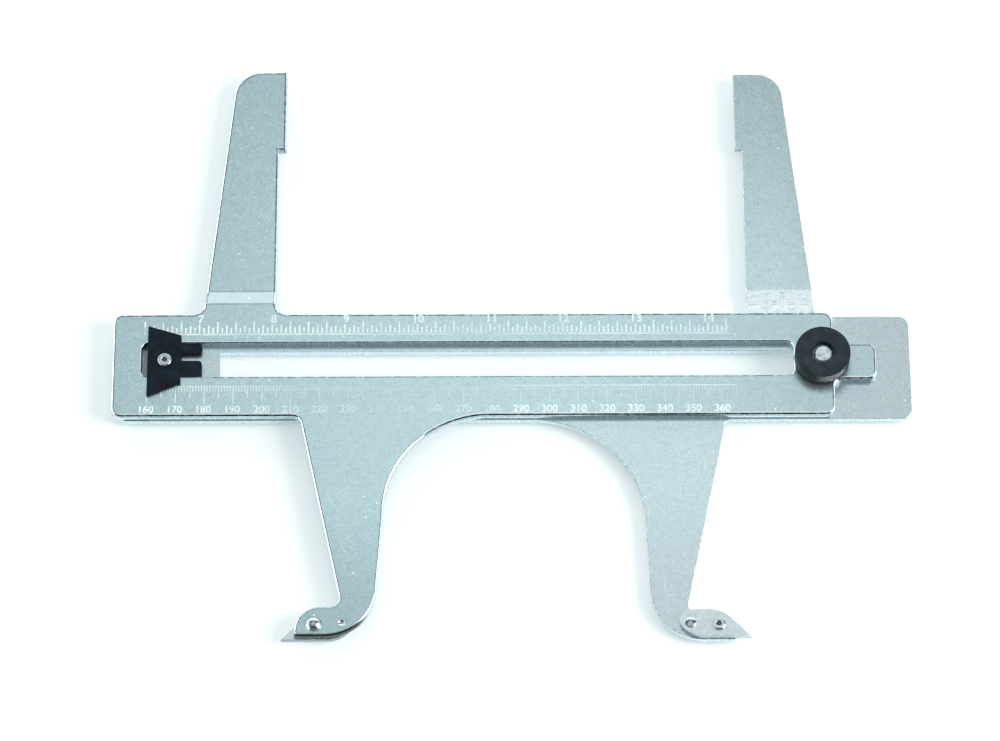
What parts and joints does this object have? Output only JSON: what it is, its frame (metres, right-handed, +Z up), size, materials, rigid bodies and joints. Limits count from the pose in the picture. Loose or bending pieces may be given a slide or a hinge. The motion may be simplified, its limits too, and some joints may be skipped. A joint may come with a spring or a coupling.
{
  "type": "sliding caliper gauge",
  "caption": "Sliding inside and outside caliper gauge: slotted steel plates with jaws above, hooked tips below, a scale cursor and a thumb nut clamp.",
  "frame": {"origin": "under the middle of the whole gauge, in the plane that its underside heads lie on, with the slider closed", "axes": "+X along the slide, the way the slider opens; +Y from the hooked tips towards the jaws; +Z up, out of the scale face"},
  "size_m": [0.2782, 0.219, 0.0146],
  "materials": {
    "zinc_steel": "stamped sheet steel, bright zinc plated, fine speckle",
    "tip_steel": "hardened and plated steel",
    "rivet_steel": "bright plated steel",
    "bolt_steel": "plated steel",
    "black_plastic": "moulded black plastic",
    "scale_marks": "pale etched marks"
  },
  "bodies": {
    "beam": {"front_plate": "zinc_steel", "left_tip": "tip_steel", "left_tip_rivet": "rivet_steel", "left_tip_pin": "rivet_steel", "clamp_bolt": "bolt_steel"},
    "slider": {"rear_plate": "zinc_steel", "right_tip": "tip_steel", "right_tip_rivet": "rivet_steel", "right_tip_pin": "rivet_steel", "cursor": "black_plastic", "cursor_rivet": "rivet_steel"},
    "washer": {"clamp_washer": "bolt_steel"},
    "nut": {"thumb_nut": "black_plastic", "nut_insert": "bolt_steel"}
  },
  "joints": [
    {"name": "slider_slide", "type": "slide", "parent": "beam", "child": "slider", "axis": [1, 0, 0], "range_m": [0, 0.205]},
    {"name": "nut_lift", "type": "slide", "parent": "beam", "child": "washer", "axis": [0, 0, 1], "range_m": [0, 0.001]},
    {"name": "nut_turn", "type": "hinge", "parent": "washer", "child": "nut", "pos_m": [0.10815, -0.0062, 0.012], "axis": [0, 0, 1], "range_deg": [0, 360]}
  ],
  "couplings": [
    {"joint": "nut_lift", "follows": "nut_turn", "m_per_rad": 0.00015915}
  ]
}
